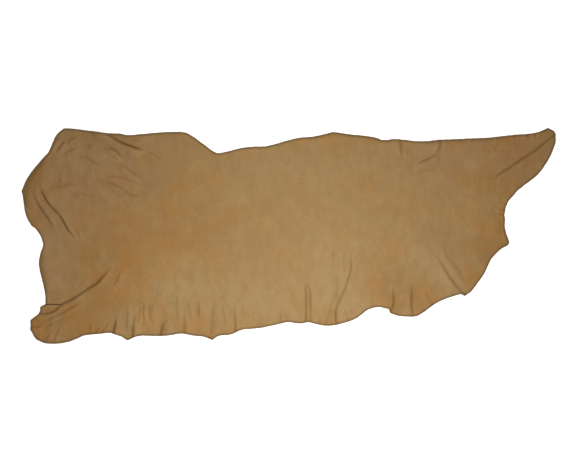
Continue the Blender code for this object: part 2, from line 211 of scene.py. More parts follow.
# The smaller ones between them
FINE_FOLDS = {
    "rump, beyond": Fold(0.004, 0.009, 0.018, 0.025, 0.025,
                         ((-0.6575, 0.3975), (-0.625, 0.3775), (-0.5875, 0.35))),
    "rump, stripe": Fold(0.004, 0.008, 0.012, 0.020, 0.025,
                         ((-0.785, 0.47), (-0.7375, 0.4525), (-0.69, 0.435))),
    "hip, stripe 1": Fold(0.005, 0.007, 0.009, 0.020, 0.020,
                          ((-0.775, 0.3975), (-0.7475, 0.365), (-0.7325, 0.34))),
    "hip, stripe 2": Fold(0.005, 0.007, 0.009, 0.020, 0.020,
                          ((-0.7525, 0.4075), (-0.7275, 0.375), (-0.71, 0.345))),
    "hip, low line 1": Fold(0.004, 0.014, 0.026, 0.050, 0.050,
                            ((-1.135, 0.2375), (-1.08, 0.2325), (-1.0225, 0.2375),
                             (-0.975, 0.23))),
    "hip, low line 2": Fold(0.004, 0.014, 0.024, 0.050, 0.050,
                            ((-1.0125, 0.22), (-0.9625, 0.195), (-0.8975, 0.18))),
    "corner, rim": Fold(0.005, 0.009, 0.014, 0.020, 0.020,
                        ((-1.1175, 0.3925), (-1.095, 0.425), (-1.07, 0.4675))),
    "hip, middle line": Fold(0.004, 0.010, 0.022, 0.040, 0.040,
                             ((-0.865, 0.2825), (-0.8, 0.275), (-0.735, 0.255), (-0.68, 0.23))),
    "thigh, upright": Fold(0.003, 0.012, 0.016, 0.050, 0.050,
                           ((-1.0625, 0.1675), (-1.0675, 0.2375), (-1.07, 0.3125))),
    "corner, upper": Fold(0.004, 0.008, 0.012, 0.015, 0.020,
                          ((-1.0425, 0.44), (-1.0125, 0.4525), (-0.98, 0.465))),
    "thigh, inner": Fold(0.004, 0.008, 0.012, 0.030, 0.030,
                         ((-0.9725, -0.01), (-1.0, 0.0325), (-1.0275, 0.07))),
    "shank, lowest": Fold(0.004, 0.009, 0.014, 0.020, 0.050,
                          ((-1.145, -0.43), (-1.0875, -0.4075), (-1.0325, -0.38),
                           (-0.975, -0.3525))),
    "hip, notch": Fold(0.004, 0.008, 0.011, 0.015, 0.015,
                       ((-0.922, 0.392), (-0.930, 0.412), (-0.940, 0.430))),
    "hip, lowest": Fold(0.004, 0.008, 0.012, 0.025, 0.030,
                        ((-0.840, 0.236), (-0.792, 0.207), (-0.745, 0.182))),
    "hoof, rim 1": Fold(0.005, 0.009, 0.014, 0, 0.030,
                        ((-1.14, -0.5), (-1.1225, -0.465), (-1.1075, -0.445))),
    "hoof, rim 2": Fold(0.003, 0.008, 0.009, 0, 0.020,
                        ((-1.0975, -0.5), (-1.085, -0.46), (-1.065, -0.4275))),
    "hoof, rim 3": Fold(0.003, 0.007, 0.008, 0, 0.015,
                        ((-1.1825, -0.4875), (-1.1675, -0.455), (-1.1625, -0.435))),
    "shank, bend": Fold(0.004, 0.008, 0.011, 0.030, 0.030,
                        ((-0.8225, -0.245), (-0.8025, -0.2075), (-0.7875, -0.165))),
    "thigh rim": Fold(0.006, 0.018, 0.080, 0.060, 0.080,
                      ((-1.13, -0.29), (-1.135, -0.23), (-1.1525, -0.14), (-1.1425, -0.04))),
    "shank, streak 1": Fold(0.003, 0.007, 0.009, 0, 0.025,
                            ((-1.14, -0.295), (-1.0875, -0.2975), (-1.0425, -0.29))),
    "shank, streak 2": Fold(0.002, 0.007, 0.009, 0, 0.025,
                            ((-1.145, -0.2675), (-1.0875, -0.27), (-1.0425, -0.2625))),
    "rear belly, a": Fold(0.004, 0.008, 0.010, 0, 0.025,
                          ((-0.93, -0.47), (-0.9275, -0.435), (-0.93, -0.3975))),
    "rear belly, b": Fold(0.004, 0.006, 0.008, 0, 0.015,
                          ((-0.91, -0.465), (-0.8925, -0.44), (-0.8725, -0.4175))),
    "rear belly, c": Fold(0.004, 0.007, 0.009, 0, 0.020,
                          ((-0.8825, -0.465), (-0.855, -0.43), (-0.835, -0.405))),
    "rear belly, d": Fold(0.004, 0.008, 0.010, 0.030, 0.020,
                          ((-0.755, -0.445), (-0.755, -0.385), (-0.75, -0.3425))),
    "rear belly, e": Fold(0.003, 0.006, 0.008, 0.020, 0.020,
                          ((-0.7025, -0.4225), (-0.7, -0.375), (-0.69, -0.3275))),
    "rear belly, f": Fold(0.004, 0.007, 0.009, 0.030, 0.020,
                          ((-0.675, -0.4125), (-0.68, -0.3525), (-0.675, -0.315))),
    "rear belly, g": Fold(0.004, 0.007, 0.011, 0.030, 0.015,
                          ((-0.645, -0.4125), (-0.65, -0.355), (-0.65, -0.315))),
    "rear belly, h": Fold(0.003, 0.007, 0.012, 0.030, 0.015,
                          ((-0.63, -0.43), (-0.635, -0.37), (-0.635, -0.315))),
    "rear belly, i": Fold(0.003, 0.010, 0.016, 0.030, 0.040,
                          ((-0.5175, -0.4125), (-0.52, -0.3375), (-0.5175, -0.2625))),
    "rear belly, j": Fold(0.003, 0.009, 0.012, 0.030, 0.030,
                          ((-0.4525, -0.4025), (-0.4625, -0.3525), (-0.47, -0.3))),
    "rear belly, k": Fold(0.004, 0.009, 0.022, 0.030, 0.030,
                          ((-0.42, -0.3925), (-0.42, -0.3425), (-0.42, -0.295))),
    "rear belly, l": Fold(0.003, 0.007, 0.009, 0.020, 0.025,
                          ((-0.2925, -0.4225), (-0.3025, -0.37), (-0.3075, -0.3225))),
    "front belly, beside": Fold(0.004, 0.010, 0.014, 0.060, 0,
                                ((0.090, -0.195), (0.098, -0.260), (0.103, -0.330),
                                 (0.105, -0.420))),
    "mid belly, a": Fold(0.004, 0.009, 0.014, 0, 0.030,
                         ((-0.0375, -0.4175), (-0.0375, -0.375), (-0.035, -0.3425))),
    "mid belly, b": Fold(0.003, 0.006, 0.008, 0, 0.020,
                         ((-0.005, -0.4175), (-0.01, -0.375), (-0.0125, -0.3525))),
    "mid belly, c": Fold(0.003, 0.007, 0.008, 0, 0.015,
                         ((0.1425, -0.4225), (0.1425, -0.38))),
    "mid belly, d": Fold(0.003, 0.008, 0.010, 0.030, 0.030,
                         ((0.2125, -0.0575), (0.2075, -0.1125), (0.2075, -0.17))),
    "mid belly, e": Fold(0.003, 0.007, 0.009, 0.025, 0.030,
                         ((0.265, -0.065), (0.26, -0.1225), (0.26, -0.1875))),
    "mid belly, f": Fold(0.004, 0.007, 0.010, 0.030, 0.030,
                         ((0.2325, -0.17), (0.2275, -0.225), (0.2275, -0.31))),
    "mid belly, g": Fold(0.005, 0.012, 0.012, 0.015, 0,
                         ((0.2125, -0.3425), (0.22, -0.37), (0.2325, -0.4175))),
    "mid belly, h": Fold(0.004, 0.008, 0.009, 0.020, 0,
                         ((0.265, -0.3425), (0.2725, -0.375), (0.2825, -0.4125))),
    "brisket, c": Fold(0.003, 0.012, 0.016, 0.020, 0,
                       ((0.635, -0.2525), (0.6525, -0.285), (0.675, -0.3175))),
    "foreleg, beyond": Fold(0.002, 0.010, 0.018, 0.050, 0.040,
                            ((0.7825, -0.1225), (0.8025, -0.165), (0.82, -0.215),
                             (0.835, -0.2475))),
    "front rim": Fold(0.004, 0.018, 0.035, 0.050, 0.030,
                      ((0.985, 0.1125), (0.9875, 0.0475), (0.9925, -0.01))),
    "front rim, a": Fold(0.003, 0.006, 0.007, 0.015, 0,
                         ((0.97, 0.155), (1.0225, 0.15))),
    "front rim, b": Fold(0.003, 0.006, 0.007, 0.015, 0,
                         ((0.97, 0.125), (1.0125, 0.12))),
    "front rim, c": Fold(0.003, 0.006, 0.007, 0.015, 0,
                         ((0.97, 0.1), (1.0125, 0.095))),
    "withers, lower": Fold(0.003, 0.009, 0.016, 0.030, 0.030,
                           ((0.605, 0.285), (0.635, 0.305), (0.6675, 0.315))),
    "withers rim, a": Fold(0.003, 0.006, 0.008, 0, 0.012,
                           ((0.675, 0.4525), (0.6725, 0.415))),
    "withers rim, b": Fold(0.003, 0.007, 0.012, 0, 0.025,
                           ((0.7425, 0.4575), (0.7425, 0.4075), (0.7375, 0.375))),
    "withers rim, c": Fold(0.003, 0.006, 0.008, 0, 0.015,
                           ((0.7925, 0.4575), (0.7925, 0.415))),
    "shoulder, beyond": Fold(0.003, 0.008, 0.010, 0.020, 0.020,
                             ((0.56, 0.415), (0.555, 0.365))),
    "neck rim, a": Fold(0.005, 0.009, 0.012, 0, 0.025,
                        ((0.985, 0.4775), (0.975, 0.43), (0.9575, 0.3925))),
    "neck rim, b": Fold(0.003, 0.007, 0.009, 0, 0.015,
                        ((1.06, 0.4875), (1.055, 0.445))),
    "neck rim, c": Fold(0.005, 0.008, 0.010, 0, 0.020,
                        ((1.115, 0.49), (1.115, 0.445))),
    "neck rim, d": Fold(0.005, 0.008, 0.010, 0, 0.020,
                        ((1.15, 0.495), (1.1525, 0.445))),
    "back rim, 1": Fold(0.003, 0.012, 0.050, 0.100, 0.100,
                        ((0.045, 0.45), (0.1225, 0.4575), (0.2175, 0.475), (0.2975, 0.4675),
                         (0.38, 0.455), (0.4525, 0.4425), (0.53, 0.4425))),
    "back rim, 2": Fold(0.003, 0.012, 0.040, 0.080, 0.080,
                        ((0.605, 0.4325), (0.755, 0.44), (0.895, 0.445), (0.99, 0.45),
                         (1.0925, 0.46))),
}
# The smaller ones' flanks are this much wider than their rows say
FINE_SPREAD = 1.35
# A fold narrows to this share of its width where it fades out
END_WIDTH = 0.35
# Folds that meet blend by this power: 1 adds them up, and a high one keeps the higher
BLEND = 3
# A fold's path has a point every so often, wanders so far over such a length, and the fold's
# height varies by this share
PATH_STEP = 0.006
WANDER = 0.0014
WANDER_LENGTH = 0.09
UNEVEN = 0.16
# Profiles across: the steep flank is sharp at its foot, the gentle one falls fastest by the crest
FOOT_SHARPNESS = 1.8
GENTLE_LEAN = 1.3
# How much of a steep flank's width lies on the right of its path
SETBACK = 0.68
# The painted shade along a steep foot, a darker line where the fold's shade falls: how far down the
# flank it lies, its width and what the flank's own width adds to that, the height of a fold that
# has it in full, and the power by which lower ones lose it. It is drawn within so many widths of
# the flank.
CREASE_PLACE = 0.8
CREASE_WIDTH = 0.0030
CREASE_SPREAD = 1 / 8
CREASE_HEIGHT = 0.016
CREASE_POWER = 1.2
CREASE_REACH = 2

# Unevenness is a sum of so many waves, whose lengths lie within these shares of the one asked for
WAVE_COUNT = 9
WAVE_LENGTHS = (0.7, 1.6)
# Seeds of all that is random. A fold's own is its table's plus its number there, and for its
# uneven height the third is added to that.
MAIN_SEED = 100
FINE_SEED = 200
UNEVEN_SEED = 500
KNIFE_SEED = 5
SWELL_SEED = 11
FLUTE_SEED = 12
SHAKE_SEED = 3
PATCH_SEED = 21

# How unevenly the grain lies: calm in the middle, then rising towards both ends, where it is less
# on the belly's side and rises towards the backbone, and some along the belly. Each rise has where
# it starts and how far it reaches.
CALM = 0.25
ENDS_FROM, ENDS_REACH = 0.45, 0.50
BACK_FROM, BACK_REACH = -0.05, 0.25
ENDS_LOW, ENDS_ADDED = 0.62, 0.62
BELLY_FROM, BELLY_REACH = 0.22, 0.16
BELLY_SHARE = 0.4

# Colours of the grain side: its tan, a deeper and a paler one that mottle it, the tints of its
# patches, the darker of which is painted shade, partly darker tone, and the painted light that the
# pale patches add. Then those of pores, of the painted shade in creases, of the rim, which is
# darker partly by its own burnish and partly by painted shade, and of the painted shadow along the
# slit.
TAN = (0.390, 0.230, 0.080, 1)
DEEP_TAN = (0.325, 0.183, 0.060, 1)
PALE_TAN = (0.432, 0.275, 0.111, 1)
WARM = (0.455, 0.203, 0.038, 1)
ROSE = (0.410, 0.220, 0.104, 1)
DARKER_TONE_AND_SHADE = (0.318, 0.172, 0.054, 1)
PALE_TONE_AND_LIGHT = (0.050, 0.055, 0.036, 1)
PORE_COLOUR = (0.24, 0.13, 0.045, 1)
CREASE_SHADE_COLOUR = (0.184, 0.084, 0.016, 1)
RIM_BURNISH_AND_SHADE = (0.120, 0.064, 0.024, 1)
SLIT_SHADOW_COLOUR = (0.030, 0.016, 0.008, 1)
# Colours of the flesh side and of the knife's cut
FLESH = (0.46, 0.325, 0.185, 1)
FLESH_STAIN = (0.40, 0.265, 0.140, 1)
FLESH_FIBRE = (0.56, 0.43, 0.28, 1)
CUT = (0.225, 0.135, 0.060, 1)
CUT_LAYER = (0.300, 0.190, 0.090, 1)

# Noise: the size of its features, its levels of detail and their strength, and a squeeze on each
# axis. Spread: the range of a value that counts, and what its two ends become.
Noise = namedtuple("Noise", "size detail roughness squeeze", defaults=(3.0, 0.5, None))
Spread = namedtuple("Spread", "low high to_low to_high")

# Grain side: clouds of more and less warmth, what the painted light of the pale patches adds to
# warmth, and the mottles that lie over all tints
CLOUDS = Noise(0.16, 4.0, 0.48)
CLOUD_WARMTH = Spread(0.32, 0.68, -0.36, 0.38)
PALE_TONE_AND_LIGHT_WARMTH = -0.45
MOTTLES = (
    (Noise(0.10, 5.0, 0.6), Spread(0.42, 0.72, 0.0, 0.62), PALE_TAN),
    (Noise(0.040, 6.0, 0.62, (1.0, 0.55, 1.0)), Spread(0.38, 0.72, 0.0, 0.50), DEEP_TAN),
    (Noise(0.009, 4.0, 0.65), Spread(0.38, 0.75, 0.0, 0.36), DEEP_TAN),
)
# Its pores, the painted shade in its creases, and its rim, which is darker by a ragged margin,
# partly by its own burnish and partly by painted shade
PORE_SIZE = 0.0022
PORE_SHARE = Spread(0.05, 0.30, 0.35, 0.0)
CREASE_SHADE_SHARE = 0.90
RAGGED = Noise(0.020)
RAGGED_DEPTH = 0.004
RIM_BURNISH_AND_SHADE_SHARE = Spread(0.0035, 0.0170, 0.64, 0.0)
# Its relief from fine to coarse: the size or noise, and the depth. Then its gloss.
PEBBLE_SIZE, PEBBLE_DEPTH = 0.0013, 0.00018
WRINKLES, WRINKLE_DEPTH = Noise(0.0045, 4.0, 0.55), 0.00030
RUMPLE, RUMPLE_DEPTH = Noise(0.028, 4.0, 0.55, (1.0, 0.6, 1.0)), 0.0036
WEAR = Noise(0.012, 4.0)
GRAIN_ROUGHNESS = Spread(0.3, 0.7, 0.54, 0.68)

# Flesh side: stains, fibres and nap
STAINS, STAIN_SHARE = Noise(0.060, 4.0), Spread(0.3, 0.7, 0.0, 0.6)
FIBRES, FIBRE_DEPTH = Noise(0.0020, 6.0, 0.7, (1.0, 0.35, 1.0)), 0.0006
FIBRE_SHARE = Spread(0.35, 0.75, 0.0, 0.5)
NAP, NAP_DEPTH = Noise(0.012, 4.0, 0.6), 0.0005
FLESH_ROUGHNESS = Spread(0.3, 0.7, 0.86, 0.96)

# The knife's cut: thin layers
LAYERS, LAYER_DEPTH = Noise(0.0012, 3.0, 0.6, (1.0, 1.0, 4.0)), 0.0003
LAYER_SHARE = Spread(0.35, 0.65, 0.0, 0.7)
CUT_ROUGHNESS = Spread(0.3, 0.7, 0.78, 0.90)

# How matt a sheen is, and the sockets that a Mix node has for colours: share, first and second
# colour, and result
SHEEN_ROUGHNESS = 0.5
MIX_SHARE, MIX_FIRST, MIX_SECOND, MIX_RESULT = 0, 6, 7, 2

# Where the tan is uneven, and where light and shade are painted on it: soft patches of other tints,
# each by this share at its middle. The warm and rose ones are the tan's own tone; the pale ones are
# painted light and the darker ones painted shade, both partly the tan's own tone as well. Their
# places and reaches are along x and y, and turn is how far they lean, in degrees.
TINTS = ("warm", "rose", "pale", "darker_tone_and_shade")
Patch = namedtuple("Patch", "tint share x y wide deep turn")
PATCHES = {
    "thigh": Patch("warm", 0.90, -0.85, -0.18, 0.14, 0.20, 0),
    "shank": Patch("warm", 1.00, -0.98, -0.39, 0.26, 0.11, 10),
    "shank, inner": Patch("warm", 0.70, -0.80, -0.30, 0.10, 0.10, 0),
    "leg": Patch("warm", 0.75, -0.98, -0.24, 0.20, 0.22, 0),
    "flank": Patch("warm", 0.65, -0.50, 0.05, 0.12, 0.15, 0),
    "flank, low": Patch("warm", 0.50, -0.56, -0.08, 0.18, 0.06, -20),
    "hip": Patch("warm", 0.15, -0.95, 0.26, 0.30, 0.22, 0),
    "tail": Patch("warm", 0.80, -1.22, 0.20, 0.05, 0.12, 0),
    "front": Patch("warm", 0.50, 0.97, 0.10, 0.13, 0.26, 20),
    "front point": Patch("warm", 1.00, 1.01, -0.03, 0.06, 0.08, 0),
    "neck": Patch("warm", 0.60, 1.11, 0.36, 0.17, 0.09, 35),
    "neck, spot": Patch("warm", 0.50, 0.92, 0.27, 0.12, 0.04, 0),
    "neck tip, shade": Patch("darker_tone_and_shade", 0.25, 1.15, 0.41, 0.10, 0.05, 35),
    "neck, rim": Patch("warm", 0.50, 0.98, 0.45, 0.10, 0.03, 0),
    "foreleg": Patch("warm", 0.65, 0.88, -0.17, 0.08, 0.10, -40),
    "brisket": Patch("warm", 0.75, 0.54, -0.31, 0.14, 0.06, 0),
    "belly, spot": Patch("warm", 0.45, 0.41, -0.22, 0.07, 0.05, 0),
    "belly, rear rim": Patch("warm", 0.20, -0.76, -0.42, 0.12, 0.06, 0),
    "belly, far rim": Patch("warm", 0.35, -0.36, -0.43, 0.20, 0.03, 0),
    "back rim": Patch("warm", 0.70, 0.28, 0.45, 0.20, 0.025, 0),
    "hip, all": Patch("rose", 0.55, -0.95, 0.28, 0.26, 0.20, 0),
    "thigh, outside": Patch("rose", 0.60, -1.09, -0.16, 0.08, 0.18, 0),
    "thigh, upper": Patch("rose", 0.35, -1.07, 0.07, 0.09, 0.10, 0),
    "withers": Patch("rose", 0.55, 0.68, 0.37, 0.16, 0.08, 0),
    "neck, all": Patch("rose", 0.50, 1.08, 0.38, 0.17, 0.10, 35),
    "chest, low": Patch("rose", 0.40, 0.70, -0.10, 0.14, 0.06, -30),
    "thigh, rim": Patch("pale", 0.85, -1.09, -0.22, 0.07, 0.14, 0),
    "thigh, high": Patch("pale", 0.40, -1.07, 0.07, 0.07, 0.10, 0),
    "hip, upper": Patch("pale", 0.45, -0.96, 0.36, 0.08, 0.06, 0),
    "rump": Patch("pale", 0.35, -0.82, 0.40, 0.10, 0.05, -25),
    "back": Patch("pale", 0.35, 0.05, 0.33, 0.35, 0.08, 5),
    "belly, gathers": Patch("pale", 1.00, -0.71, -0.39, 0.13, 0.08, 0),
    "belly, rear": Patch("pale", 1.00, -0.53, -0.24, 0.11, 0.10, 0),
    "belly, middle": Patch("pale", 0.60, 0.19, -0.15, 0.09, 0.17, 0),
    "belly, low": Patch("pale", 0.45, -0.15, -0.30, 0.14, 0.08, 0),
    "belly, front": Patch("pale", 0.65, 0.31, -0.31, 0.09, 0.07, 0),
    "chest": Patch("pale", 0.80, 0.71, -0.18, 0.18, 0.05, -40),
    "shoulder": Patch("pale", 0.35, 0.82, 0.13, 0.10, 0.14, 0),
    "loin, shade": Patch("darker_tone_and_shade", 0.38, -0.44, 0.03, 0.15, 0.09, 0),
    "middle, shade": Patch("darker_tone_and_shade", 0.20, 0.00, 0.00, 0.24, 0.12, 0),
    "corner, shade": Patch("darker_tone_and_shade", 0.45, -0.86, 0.44, 0.06, 0.04, 0),
    "shank, shade": Patch("darker_tone_and_shade", 0.30, -0.88, -0.20, 0.12, 0.18, 0),
    "brisket, shade": Patch("darker_tone_and_shade", 0.85, 0.51, -0.26, 0.09, 0.07, -30),
    "point, shade": Patch("darker_tone_and_shade", 0.50, 0.96, -0.07, 0.09, 0.08, 0),
    "foreleg rim, shade": Patch("darker_tone_and_shade", 0.55, 0.91, -0.14, 0.10, 0.035, 50),
    "far hip, shade": Patch("darker_tone_and_shade", 0.35, -0.63, 0.25, 0.05, 0.06, 0),
    "back rim, shade": Patch("darker_tone_and_shade", 0.55, 0.32, 0.45, 0.06, 0.03, 0),
    "chest, shade": Patch("darker_tone_and_shade", 0.25, 0.66, 0.00, 0.08, 0.06, 0),
    "neck, shade": Patch("darker_tone_and_shade", 0.15, 0.96, 0.24, 0.12, 0.06, 0),
}
# How much the patches' outlines waver, and how long the wavers are
PATCH_WAVER = 0.30
PATCH_WAVE = 0.16


def rise(value, start=0.0, reach=1.0):
    """Half a wave: 0 up to the start, and 1 from a reach further on."""
    return (1 - np.cos(np.pi * np.clip((value - start) / reach, 0, 1))) / 2


def waves(places, length, seed):
    """Smooth seeded unevenness of about this wavelength, mostly between -1 and 1."""
    dice = np.random.default_rng(seed)
    total = np.zeros(len(places))
    for _ in range(WAVE_COUNT):
        heading, phase = dice.uniform(0, 2 * np.pi, 2)
        pace = 2 * np.pi / (length * dice.uniform(*WAVE_LENGTHS))
        along = places[:, 0] * np.cos(heading) + places[:, 1] * np.sin(heading)
        total += np.sin(pace * along + phase)
    return total / np.sqrt(WAVE_COUNT)


def smooth_curve(points, step):
    """Points about a step apart on a centripetal Catmull-Rom curve, without its last one."""
    knots = np.array(points, float)
    knots = np.vstack([2 * knots[0] - knots[1], knots, 2 * knots[-1] - knots[-2]])
    curve = []
    for a, b, c, d in zip(knots, knots[1:], knots[2:], knots[3:]):
        gaps = np.sqrt([np.hypot(*(b - a)), np.hypot(*(c - b)), np.hypot(*(d - c))])
        t0, t1, t2, t3 = 0.0, gaps[0], gaps[0] + gaps[1], gaps.sum()
        count = max(1, round(np.hypot(*(c - b)) / step))
        for t in np.linspace(t1, t2, count, endpoint=False):
            ab = a + (b - a) * (t - t0) / (t1 - t0)
            bc = b + (c - b) * (t - t1) / (t2 - t1)
            cd = c + (d - c) * (t - t2) / (t3 - t2)
            abc = ab + (bc - ab) * (t - t0) / (t2 - t0)
            bcd = bc + (cd - bc) * (t - t1) / (t3 - t1)
            curve.append(abc + (bcd - abc) * (t - t1) / (t2 - t1))
    return curve


def leftwards(curve, closed):
    """Unit vectors to the left of a curve at each of its points."""
    if closed:
        heading = np.roll(curve, -1, axis=0) - np.roll(curve, 1, axis=0)
    else:
        heading = np.gradient(curve, axis=0)
    heading /= np.hypot(*heading.T)[:, None]
    return np.column_stack([-heading[:, 1], heading[:, 0]])


def frame_edge():
    """The frame's cut edge as a closed polygon, clockwise seen from above."""
    bm = bmesh.new()
    bm.from_mesh(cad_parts["hide"].data)
    bmesh.ops.remove_doubles(bm, verts=bm.verts, dist=WELD)
    bm.normal_update()
    following = {}
    for face in bm.faces:
        if face.normal.z < GRAIN_NORMAL:
            continue
        for loop in face.loops:
            others = [other for other in loop.edge.link_faces if other is not face]
            if all(other.normal.z < GRAIN_NORMAL for other in others):
                following[loop.link_loop_next.vert.index] = loop.vert.index
    places = [tuple(v.co[:2]) for v in bm.verts]
    bm.free()
    start = min(following)
    chain = [start]
    while following[chain[-1]] != start:
        chain.append(following[chain[-1]])
    return np.array([places[i] for i in chain])


def fine_edge(polygon):
    """The cut edge in small steps: smooth between its corners, with the knife's small swings."""
    before = polygon - np.roll(polygon, 1, axis=0)
    after = np.roll(polygon, -1, axis=0) - polygon
    turn = np.arctan2(after[:, 1], after[:, 0]) - np.arctan2(before[:, 1], before[:, 0])
    turn = np.abs((turn + np.pi) % (2 * np.pi) - np.pi)
    corners = np.flatnonzero(turn > CORNER_TURN)
    curve = []
    for first, last in zip(corners, [*corners[1:], corners[0] + len(polygon)]):
        stretch = polygon[np.arange(first, last + 1) % len(polygon)]
        curve += smooth_curve(stretch, RIM_STEP)
    curve = np.array(curve)
    inward = -leftwards(curve, True)
    return curve + inward * KNIFE_SWING * (1 + waves(curve, KNIFE_LENGTH, KNIFE_SEED))[:, None]


def placed(table, seed, spread=1):
    """Each fold with its flanks spread, its path as a curve that wanders a little, and a seed."""
    folds = []
    for i, fold in enumerate(table.values()):
        fold = fold._replace(steep=fold.steep * spread, gentle=fold.gentle * spread)
        curve = np.array([*smooth_curve(fold.path, PATH_STEP), fold.path[-1]])
        shift = WANDER * waves(curve, WANDER_LENGTH, seed + i)
        folds.append((fold, curve + leftwards(curve, False) * shift[:, None], seed + i))
    return folds


def nearest_on(path, places):
    """Where a path is nearest to each place: how far along it, and how far off it the place is,
    with plus on its left."""
    runs = path[1:] - path[:-1]
    lengths = np.hypot(runs[:, 0], runs[:, 1])
    begins = np.cumsum(lengths) - lengths
    offsets = places[:, None] - path[None, :-1]
    share = np.clip((offsets * runs).sum(2) / lengths**2, 0, 1)
    gaps = offsets - share[..., None] * runs
    distance = np.hypot(gaps[..., 0], gaps[..., 1])
    best = distance.argmin(1)
    row = np.arange(len(places))
    run, offset = runs[best], offsets[row, best]
    side = np.where(run[:, 0] * offset[:, 1] - run[:, 1] * offset[:, 0] >= 0, 1, -1)
    return begins[best] + share[row, best] * lengths[best], side * distance[row, best]


def beside(fold, path, places, reach):
    """The places within reach of a fold, how far each is from the crest towards the steep side,
    and how much the fold's height and width have faded there."""
    low, high = path.min(0) - reach, path.max(0) + reach
    near = np.flatnonzero(((places > low) & (places < high)).all(1))
    if not len(near):
        return near, np.empty(0), np.empty(0), np.empty(0)
    along, off = nearest_on(path, places[near])
    length = np.hypot(*(path[1:] - path[:-1]).T).sum()
    fade = np.ones(len(near))
    if fold.fade_in:
        fade *= rise(along, 0, fold.fade_in)
    if fold.fade_out:
        fade *= rise(length - along, 0, fold.fade_out)
    width = END_WIDTH + (1 - END_WIDTH) * fade
    return near, off + SETBACK * fold.steep * width, fade, width


def fold_heights(folds, places):
    """How high a family of folds lifts the sheet at each place."""
    total = np.zeros(len(places))
    for fold, path, seed in folds:
        near, from_crest, fade, width = beside(fold, path, places, fold.steep + fold.gentle)
        steep = np.clip(1 - from_crest / (fold.steep * width), 0, 1)
        gentle = np.clip(1 + from_crest / (fold.gentle * width), 0, 1)
        sharp = 1 - (1 - steep) ** FOOT_SHARPNESS
        across = np.where(from_crest > 0, (sharp + rise(steep)) / 2, rise(gentle**GENTLE_LEAN))
        uneven = 1 + UNEVEN * waves(places[near], WANDER_LENGTH, seed + UNEVEN_SEED)
        total[near] += (fold.height * across * fade * uneven) ** BLEND
    return total ** (1 / BLEND)


def creases(folds, places):
    """The painted shade along the steep feet, a darker line where the folds' shade falls, from 0 to
    1.
    """
    total = np.zeros(len(places))
    for fold, path, _ in folds:
        near, from_crest, fade, width = beside(fold, path, places, CREASE_REACH * fold.steep)
        off_line = from_crest / width - fold.steep * CREASE_PLACE
        off_line /= CREASE_WIDTH + fold.steep * CREASE_SPREAD
        line = np.exp(-off_line**2) * fade * min(1, fold.height / CREASE_HEIGHT) ** CREASE_POWER
        total[near] = np.maximum(total[near], line)
    return total


def patches(places):
    """How much of each tint the leather has at each place, painted light and painted shade among
    them.
    """
    shares = {tint: np.zeros(len(places)) for tint in TINTS}
    waver = 1 + PATCH_WAVER * waves(places, PATCH_WAVE, PATCH_SEED)
    for patch in PATCHES.values():
        lean = math.radians(patch.turn)
        x, y = places[:, 0] - patch.x, places[:, 1] - patch.y
        across = (x * math.cos(lean) + y * math.sin(lean)) / patch.wide
        up = (y * math.cos(lean) - x * math.sin(lean)) / patch.deep
        here = patch.share * np.exp(-(across**2 + up**2) * waver / 2)
        shares[patch.tint] = 1 - (1 - shares[patch.tint]) * (1 - here)
    return shares


def unrest(places):
    """How unevenly the grain lies: least in the middle, most at hip and neck, some at the belly."""
    ends = rise(np.abs(places[:, 0]), ENDS_FROM, ENDS_REACH)
    ends *= ENDS_LOW + ENDS_ADDED * rise(places[:, 1], BACK_FROM, BACK_REACH)
    belly = BELLY_SHARE * rise(-places[:, 1], BELLY_FROM, BELLY_REACH)
    return CALM + np.maximum(ends, belly)


def rim_tree(rim):
    """A search tree of the rim's points and some between them."""
    steps = np.roll(rim, -1, axis=0) - rim
    points = np.vstack([rim + steps * share for share in RIM_PARTS])
    tree = KDTree(len(points))
    for i, (x, y) in enumerate(points):
        tree.insert((x, y, 0), i)
    tree.balance()
    return tree


def distances(tree, places):
    """How far each place is from the nearest point of a tree."""
    return np.array([tree.find((x, y, 0))[2] for x, y in places])


def sheet_height(main, fine, places, to_rim):
    """How high the sheet's underside stands at each place."""
    outer = rise(np.abs(places[:, 0]), SWELL_FROM, SWELL_REACH)
    swell = SWELL * (SWELL_MIDDLE + (1 - SWELL_MIDDLE) * outer)
    swell *= np.clip(waves(places, SWELL_LENGTH, SWELL_SEED) + SWELL_LIFT, 0, None)
    flute = FLUTE * (1 - rise(to_rim, 0, FLUTE_REACH))
    flute *= np.clip(waves(places, FLUTE_LENGTH, FLUTE_SEED) + FLUTE_LIFT, 0, None)
    roll = ROLL * (rise(to_rim, 0, ROLL_OUTER) - rise(to_rim, ROLL_OUTER, ROLL_INNER))
    return fold_heights(main, places) + fold_heights(fine, places) + swell + flute + roll


